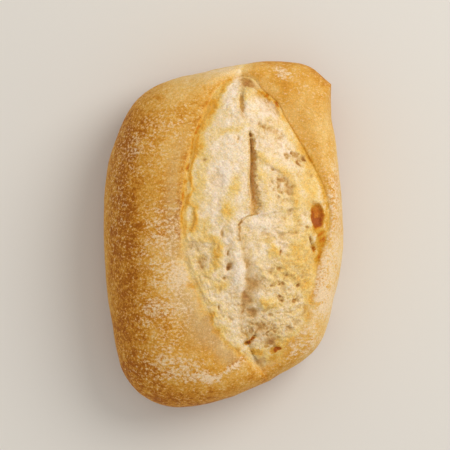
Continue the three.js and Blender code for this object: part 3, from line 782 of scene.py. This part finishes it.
# Share of crumb, 0 on the crust, with a frayed edge between them
def crumbShare(points, at, bare):
    leftFringe = crustLook["leftFringe"] * stretch(at["v"], *crustLook["leftFringeAlong"])
    rightFringe = crustLook["rightFringe"] * stretch(at["v"], *crustLook["rightFringeAlong"])
    fringe = np.where(at["left"], leftFringe, rightFringe) + crustLook["fringe"]
    edge = at["inset"] + fringe * layered(points, crustLook["fray"])
    return np.maximum(smoothStep(edge, -fringe, fringe), np.clip(bare, 0, 1))


# How toasted the crumb is
def toastMask(points, at, coarse, bare, ridges):
    look = crumbLook
    farLeft = at["left"] & (at["v"] < look["farPart"])
    reach = np.where(farLeft, look["farReach"], look["goldReach"])
    gold = look["goldEdge"] * np.exp(-np.clip(at["inset"], 0, look["goldLimit"]) / reach)
    gold *= 1 + layered(points, look["goldMottle"])
    toast = look["toast"] + gold + look["ridgeToast"] * ridges + look["coarseToast"] * coarse
    toast += patches(points, look["toasted"], look["toastLines"])
    return toast + layered(points, look["toastMottle"]) + look["bareToast"] * bare


# How glassy the torn skin is, and the stains and painted shade of the crumb where it isn't glassy
def amberStainAndShade(points, at, crumbRise, brownAndShade):
    look = crumbLook
    # The first glassy lines paint the shadow under the upper right lip
    amberAndShadow = patches(points, [], look["glassyAndShadowLines"]) * (1 + layered(points, look["glassyMottle"]))
    amberAndShadow += patches(points, look["glassy"], [], look["glassySteep"])
    onWall = look["wallAmber"] + layered(points, look["wallAmberMottle"])
    amberAndShadow += onWall * at["wall"] ** look["wallAmberPower"]

    # Painted shade, darker further down the crack
    wallShade = look["wallShade"] * at["wall"] ** look["wallShadePower"]
    wallShade += (at["wall"] > 0) * layered(points, look["wallMottle"])
    stainAndShade = np.maximum(brownAndShade, wallShade) + patches(points, look["stainedAndShaded"], look["stainAndShadeLines"])
    # Painted shade on crumb that lies sunken
    stainAndShade += look["sunkShade"] * np.clip(-crumbRise - look["sunkFrom"], 0, 1)
    return amberAndShadow, stainAndShade * (1 - smoothStep(amberAndShadow, *look["glassyOverStainAndShade"]))


# How baked, dull, even and floury the crust is
def crustMasks(points):
    look = crustLook
    z = points[:, 2]
    upper = smoothStep(z + layered(points, look["upperMottle"]), *look["upper"])
    bake = look["baked"] + look["sideBaked"] * (1 - upper)
    bake += upper * patches(points, look["browned"], look["brownLines"])
    bake += layered(points, look["bakeMottle"])
    bake += look["lowBaked"] * (1 - smoothStep(z, 0, look["lowBakedTo"]))
    return {
        "bake": bake,
        "dull": upper * patches(points, look["dull"]),
        "even": upper * np.clip(patches(points, look["even"]), 0, 1),
        "flour": look["flour"] + patches(points, look["floury"], look["flourLines"]),
    }


# The rows of the finished skin, and the masks for its colours
def makeSkin():
    rows = loftRows()
    at = gridTable(rows)
    smooth = rows.reshape(-1, 3)
    bare = patches(smooth, [], crustLook["bareLines"]) * smoothStep(smooth[:, 2], *crustLook["bareFrom"])
    coarse = np.clip(crumbLook["leastCoarse"] + patches(smooth, crumbLook["coarse"]), 0, 1)
    crumbRise, brownAndShade, ridges = crumbRelief(smooth, coarse)
    crustRise = layered(smooth, crustLook["relief"]) + foldField(smooth)
    points = raisePoints(rows, at, crumbRise, crustRise)
    roughenWalls(points, at)

    amberAndShadow, stainAndShade = amberStainAndShade(points, at, crumbRise, brownAndShade)
    masks = crustMasks(points)
    masks.update({"crumb": crumbShare(smooth, at, bare), "coarse": coarse, "amberAndShadow": amberAndShadow, "stainAndShade": stainAndShade,
                  "toast": toastMask(points, at, coarse, bare, ridges)})
    return points.reshape(rows.shape), {name: mask.reshape(rows.shape[:2]) for name, mask in masks.items()}


def closeRing(rows):
    return np.concatenate([rows, rows[:, :1]], axis=1)


def buildRoll():
    rows, masks = makeSkin()
    bpy.ops.object.select_all(action="DESELECT")
    bpy.ops.mesh.primitive_grid_add(
        x_subdivisions=skin["around"], y_subdivisions=len(rows) - 1, size=2, location=(0, 0, 0))
    roll = bpy.context.object
    roll.name = "roll"
    places = closeRing(rows).reshape(-1, 3) * mm
    roll.data.vertices.foreach_set("co", places.ravel())
    for name, mask in masks.items():
        layer = roll.data.attributes.new(name, "FLOAT", "POINT")
        layer.data.foreach_set("value", closeRing(mask).ravel())
    roll.data.update()

    # Close the ring and the bottom of the crack, then fill the base
    bpy.ops.object.mode_set(mode="EDIT")
    bpy.ops.mesh.select_all(action="SELECT")
    bpy.ops.mesh.remove_doubles(threshold=skin["weld"] * mm)
    bpy.ops.mesh.select_all(action="DESELECT")
    bpy.ops.mesh.select_mode(type="EDGE")
    bpy.ops.mesh.select_non_manifold(extend=False, use_wire=False, use_boundary=True,
                                     use_multi_face=False, use_non_contiguous=False, use_verts=False)
    bpy.ops.mesh.edge_face_add()
    bpy.ops.mesh.select_all(action="SELECT")
    bpy.ops.mesh.normals_make_consistent(inside=False)
    bpy.ops.object.mode_set(mode="OBJECT")
    bpy.ops.object.shade_smooth()
    return roll


def linear(red, green, blue):
    shares = [c / 255 for c in (red, green, blue)]
    return [((c + 0.055) / 1.055) ** 2.4 if c > 0.04 else c / 12.92 for c in shares] + [1]


def newMaterial(name):
    material = bpy.data.materials.new(name)
    material.use_nodes = True
    return material, material.node_tree, material.node_tree.nodes["Principled BSDF"]


# Sets a node's inputs to values, or links other nodes' outputs to them
def setInputs(tree, node, inputs):
    for name, value in inputs.items():
        if isinstance(value, bpy.types.NodeSocket):
            tree.links.new(value, node.inputs[name])
        else:
            node.inputs[name].default_value = value


def addNode(tree, kind, inputs, **settings):
    node = tree.nodes.new("ShaderNode" + kind)
    for name, value in settings.items():
        setattr(node, name, value)
    setInputs(tree, node, inputs)
    return node


def ramp(tree, factor, stops):
    node = addNode(tree, "ValToRGB", {"Fac": factor})
    elements = node.color_ramp.elements
    while len(elements) < len(stops):
        elements.new(0.5)
    for element, (place, color) in zip(elements, stops):
        element.position = place
        element.color = linear(*color)
    return node.outputs["Color"]


def attribute(tree, name):
    return addNode(tree, "Attribute", {}, attribute_name=name).outputs["Fac"]


def maths(tree, kind, a, b, clamp=False):
    return addNode(tree, "Math", {0: a, 1: b}, operation=kind, use_clamp=clamp).outputs[0]


def plus(tree, a, b):
    return maths(tree, "ADD", a, b)


def times(tree, a, b, clamp=False):
    return maths(tree, "MULTIPLY", a, b, clamp)


def mapRange(tree, value, low, high, toLow=0, toHigh=1, kind="LINEAR"):
    inputs = {"Value": value, "From Min": low, "From Max": high, "To Min": toLow, "To Max": toHigh}
    return addNode(tree, "MapRange", inputs, interpolation_type=kind).outputs["Result"]


# 0, 6, 7 and 2 are the Mix node's factor, two colours and mixed colour
def mixColor(tree, share, a, b):
    return addNode(tree, "Mix", {0: share, 6: a, 7: b}, data_type="RGBA").outputs[2]


# Object space in units of size millimetres
def scaled(tree, place, size, stretchBy=(1, 1, 1)):
    scale = [s / (size * mm) for s in stretchBy]
    return addNode(tree, "Mapping", {"Vector": place, "Scale": scale}).outputs["Vector"]


def noise(tree, place, size, stretchBy, detail, rough):
    spot = scaled(tree, place, size, stretchBy)
    inputs = {"Vector": spot, "Scale": 1, "Detail": detail, "Roughness": rough}
    return addNode(tree, "TexNoise", inputs).outputs["Fac"]


breadColors = {
    "crust": [(0.0, (240, 212, 160)), (0.25, (230, 186, 108)), (0.5, (218, 159, 62)),
              (0.75, (199, 129, 28)), (1.0, (166, 93, 8))],
    "crumb": [(0.0, (250, 229, 203)), (0.25, (242, 215, 170)), (0.5, (238, 205, 134)),
              (0.75, (236, 190, 96)), (1.0, (224, 160, 52))],
    # stains, and painted shade in hollows, creases and down the crack
    "stainAndShade": [(0.0, (230, 197, 140)), (0.4, (215, 177, 112)), (0.7, (199, 152, 84)), (1.0, (172, 114, 48))],
    # also colours the painted shadow under the upper right lip
    "glassy": [(0.0, (236, 196, 116)), (0.45, (224, 172, 76)), (0.68, (210, 148, 38)),
               (0.86, (202, 116, 14)), (1.0, (170, 82, 4))],
    "dull": (204, 168, 116),
    "flour": (238, 209, 168),
}

# Patterns finer than the mesh: size in millimetres, stretch, detail, roughness
breadGrain = {
    "crustMottle": (3, (0.8, 1.3, 1), 3, 0.6),
    "flourCloud": (4, (0.7, 1.3, 1), 3, 0.6),
    "fleck": (0.95, (0.9, 1.1, 1), 3, 0.75),
    "crumbMottle": (2.4, (1, 1, 1), 3, 0.6),
    "fine": (0.7, (1, 1, 1), 2, 0.6),
    "strings": (0.6, (0.3, 1, 0.5), 2, 0.6),
    "wrinkleShade": (0.45, (1, 1, 1), 2, 0.6),
}

# What the patterns do. Four numbers are a range of the pattern and what it becomes.
breadPaint = {
    "bakeMottle": (0.25, 0.75, -0.32, 0.32), "bakeFlecks": (0.35, 0.65, 0.36, -0.36),
    "evenCalms": (0, 1, 1, 0.3), "dull": 0.8,
    "flourClouds": (0.35, 0.65, 0.1, 1.5), "flourMask": 0.3,
    "flourCap": (0.6, 2.5, 0.14, 0.34), "flourShare": (0.57, 0.74, 0, 0.95),
    "toastMottle": (0.25, 0.75, -0.18, 0.18), "toastFine": (0.3, 0.7, -0.12, 0.12),
    # painted shade in the pits, part warm and part brown
    "pitWarmShade": 0.35, "pitShade": 0.25, "stainAndShadeShare": (0.05, 0.7, 0, 0.92),
    "bent": (1.2, 0.5),                      # size of the waves, and their reach
    "widePits": (1.3, 0.5), "smallPits": (0.7, 0.7), "smallPitShare": 0.7,    # size, share open
    "pitWalls": (0.02, 0.32), "coarsePits": (0, 1, 0.3, 1),
    # amber: glassy skin, and the painted shadow under the upper right lip
    "amberStreaks": (0.3, 0.7, -1, 1), "amberStreakShare": (0.5, 0.9, 0.5, 0.1),
    "amberRamp": 0.8, "amberShare": (0.1, 0.6, 0, 0.95),
    # painted shade of fine wrinkles, lighter and darker by turns
    "wrinkleShade": (0.3, 0.7, 0.84, 1.13),
    "blister": 1.2, "strings": (0.3, 0.7, -0.35, 0.35), "stringTurn": 0.85,
    "bump": 0.6, "bumpDepth": 0.3,
}

# Bread lets a little light through
breadSurface = {
    "Roughness": 0.6,
    "Specular IOR Level": 0.14,
    "Subsurface Weight": 0.3,
    "Subsurface Radius": (1.0, 0.65, 0.4),
    "Subsurface Scale": 1.0 * mm,
}


# Pits between the walls of a foam; share is how many cells stand open
def foam(tree, place, size, share):
    inputs = {"Vector": scaled(tree, place, size), "Scale": 1}
    walls = addNode(tree, "TexVoronoi", inputs, feature="DISTANCE_TO_EDGE")
    cells = addNode(tree, "TexVoronoi", inputs)
    parts = addNode(tree, "SeparateColor", {"Color": cells.outputs["Color"]})
    inside = mapRange(tree, walls.outputs["Distance"], *breadPaint["pitWalls"], 0, 1, "SMOOTHSTEP")
    luck = mapRange(tree, parts.outputs["Red"], 1 - share, 1)
    return times(tree, inside, luck, True)


def warped(tree, place, size, reach):
    wave = addNode(tree, "TexNoise", {"Vector": place, "Scale": 1 / (size * mm), "Detail": 1})
    inputs = {0: wave.outputs["Color"], 1: [reach * mm] * 3, 2: place}
    return addNode(tree, "VectorMath", inputs, operation="MULTIPLY_ADD").outputs["Vector"]


def crustColor(tree, place, fleck):
    paint = breadPaint
    mottle = noise(tree, place, *breadGrain["crustMottle"])
    spots = mapRange(tree, mottle, *paint["bakeMottle"])
    spots = plus(tree, spots, mapRange(tree, fleck, *paint["bakeFlecks"]))
    spots = times(tree, spots, mapRange(tree, attribute(tree, "even"), *paint["evenCalms"]))
    bake = attribute(tree, "bake")
    color = ramp(tree, plus(tree, bake, times(tree, spots, bake)), breadColors["crust"])
    dullShare = times(tree, attribute(tree, "dull"), paint["dull"], True)
    color = mixColor(tree, dullShare, color, linear(*breadColors["dull"]))

    # Flour lies in small flecks, thicker where the mask says so
    flour = attribute(tree, "flour")
    cloud = noise(tree, place, *breadGrain["flourCloud"])
    amount = times(tree, flour, mapRange(tree, cloud, *paint["flourClouds"]))
    edge = plus(tree, fleck, times(tree, amount, paint["flourMask"]))
    edge = maths(tree, "MINIMUM", edge, plus(tree, fleck, mapRange(tree, flour, *paint["flourCap"])))
    share = mapRange(tree, edge, *paint["flourShare"])
    return mixColor(tree, share, color, linear(*breadColors["flour"]))


def crumbColor(tree, place, fine, pits):
    paint = breadPaint
    mottle = noise(tree, place, *breadGrain["crumbMottle"])
    toast = plus(tree, attribute(tree, "toast"), mapRange(tree, mottle, *paint["toastMottle"]))
    # Painted shade in the pits
    toast = plus(tree, toast, times(tree, pits, paint["pitWarmShade"]))
    toast = plus(tree, toast, mapRange(tree, fine, *paint["toastFine"]))
    stainAndShade = plus(tree, attribute(tree, "stainAndShade"), times(tree, pits, paint["pitShade"]))
    share = mapRange(tree, stainAndShade, *paint["stainAndShadeShare"])
    toasted = ramp(tree, toast, breadColors["crumb"])
    return mixColor(tree, share, toasted, ramp(tree, stainAndShade, breadColors["stainAndShade"]))


# Thin baked skin over the rest, streaked most where it is faint; it also paints a shadow under the upper
# right lip
def glassyAndShadowOver(tree, color, fine):
    paint = breadPaint
    amberAndShadow = attribute(tree, "amberAndShadow")
    streaks = times(tree, mapRange(tree, fine, *paint["amberStreaks"]), amberAndShadow)
    streaks = times(tree, streaks, mapRange(tree, amberAndShadow, *paint["amberStreakShare"]))
    amberAndShadow = plus(tree, amberAndShadow, streaks)
    glassy = ramp(tree, times(tree, amberAndShadow, paint["amberRamp"]), breadColors["glassy"])
    return mixColor(tree, mapRange(tree, amberAndShadow, *paint["amberShare"]), color, glassy)


# Fine strings of torn crumb, running down to the right
def stringy(tree, place):
    inputs = {"Vector": place, "Rotation": (0, 0, breadPaint["stringTurn"])}
    turned = addNode(tree, "Mapping", inputs).outputs["Vector"]
    strings = noise(tree, turned, *breadGrain["strings"])
    return mapRange(tree, strings, *breadPaint["strings"])


# Pits in the crumb, blisters on the crust
def breadBump(tree, bent, fleck, pits):
    inCrumb = maths(tree, "SUBTRACT", stringy(tree, bent), pits)
    onCrust = times(tree, fleck, breadPaint["blister"])
    height = addNode(tree, "Mix", {"Factor": attribute(tree, "crumb"), "A": onCrust, "B": inCrumb})
    inputs = {"Strength": breadPaint["bump"], "Distance": breadPaint["bumpDepth"] * mm,
              "Height": height.outputs["Result"]}
    return addNode(tree, "Bump", inputs).outputs["Normal"]


def breadMaterial():
    paint = breadPaint
    material, tree, surface = newMaterial("bread")
    place = addNode(tree, "TexCoord", {}).outputs["Object"]
    bent = warped(tree, place, *paint["bent"])
    fine = noise(tree, place, *breadGrain["fine"])
    smallPits = times(tree, foam(tree, bent, *paint["smallPits"]), paint["smallPitShare"])
    pits = maths(tree, "MAXIMUM", foam(tree, bent, *paint["widePits"]), smallPits)
    pits = times(tree, pits, mapRange(tree, attribute(tree, "coarse"), *paint["coarsePits"]))
    fleck = noise(tree, place, *breadGrain["fleck"])

    crust = crustColor(tree, place, fleck)
    crumb = crumbColor(tree, place, fine, pits)
    color = glassyAndShadowOver(tree, mixColor(tree, attribute(tree, "crumb"), crust, crumb), fine)
    # Painted shade of fine wrinkles over the whole colour
    wrinkleShade = mapRange(tree, noise(tree, place, *breadGrain["wrinkleShade"]), *paint["wrinkleShade"])
    shade = addNode(tree, "VectorMath", {0: color, "Scale": wrinkleShade}, operation="SCALE")
    setInputs(tree, surface, breadSurface)
    setInputs(tree, surface, {
        "Base Color": shade.outputs["Vector"], "Normal": breadBump(tree, bent, fleck, pits)})
    return material


stage = {
    "floorSize": 8,          # metres, as the camera's and the light's distances are
    "floorColor": (226, 221, 213), "floorRoughness": 0.85, "floorShine": 0.2,
    "cameraHeight": 2,
    "clipEnd": 20,
    "sensorWidth": 36,       # millimetres
    "shownWidth": 156,       # millimetres that the picture shows at the girth
    "aim": (0.4, 3.4),       # millimetres; middle of the picture
    "keyAzimuth": 55, "keyElevation": 46, "keyDistance": 1, "keySize": 0.68, "keyPower": 5.1,
    "lightColor": (1, 0.985, 0.96),
    "fill": 0.62,
}


def floorMaterial():
    material, tree, surface = newMaterial("paleFloor")
    setInputs(tree, surface, {
        "Base Color": linear(*stage["floorColor"]), "Roughness": stage["floorRoughness"],
        "Specular IOR Level": stage["floorShine"]})
    return material


def buildFloor():
    bpy.ops.object.select_all(action="DESELECT")
    bpy.ops.mesh.primitive_plane_add(size=stage["floorSize"], location=(0, 0, 0))
    floor = bpy.context.object
    floor.name = "floor"
    floor.data.materials.append(floorMaterial())


def buildLights():
    azimuth, elevation = math.radians(stage["keyAzimuth"]), math.radians(stage["keyElevation"])
    toLight = Vector((math.sin(azimuth) * math.cos(elevation), math.cos(azimuth) * math.cos(elevation),
                      math.sin(elevation)))
    bpy.ops.object.light_add(type="AREA", location=toLight * stage["keyDistance"])
    key = bpy.context.object
    key.name = "windowLight"
    key.data.shape = "DISK"
    key.data.size = stage["keySize"]
    key.data.energy = stage["keyPower"]
    key.data.color = stage["lightColor"]
    key.rotation_mode = "QUATERNION"
    key.rotation_quaternion = toLight.to_track_quat("Z", "Y")

    world = bpy.data.worlds.new("studio")
    bpy.context.scene.world = world
    world.use_nodes = True
    background = world.node_tree.nodes["Background"]
    background.inputs["Color"].default_value = (*stage["lightColor"], 1)
    background.inputs["Strength"].default_value = stage["fill"]


def buildCamera():
    aimX, aimY = stage["aim"]
    height = stage["cameraHeight"]
    bpy.ops.object.camera_add(location=(aimX * mm, aimY * mm, height + form["girthHeight"] * mm))
    camera = bpy.context.object
    camera.name = "topCamera"
    camera.rotation_euler = (0, 0, 0)
    camera.data.sensor_width = stage["sensorWidth"]
    camera.data.lens = stage["sensorWidth"] * height / (stage["shownWidth"] * mm)
    camera.data.clip_end = stage["clipEnd"]
    bpy.context.scene.camera = camera


buildCamera()
buildFloor()
buildLights()
print("stage and camera stand")

roll = buildRoll()
print("roll modelled,", len(roll.data.polygons), "faces")
roll.data.materials.append(breadMaterial())
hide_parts("loaf")
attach(roll, "root")
print("bread baked and floured")

view = bpy.context.scene.view_settings
view.view_transform = "Standard"
view.look = "None"
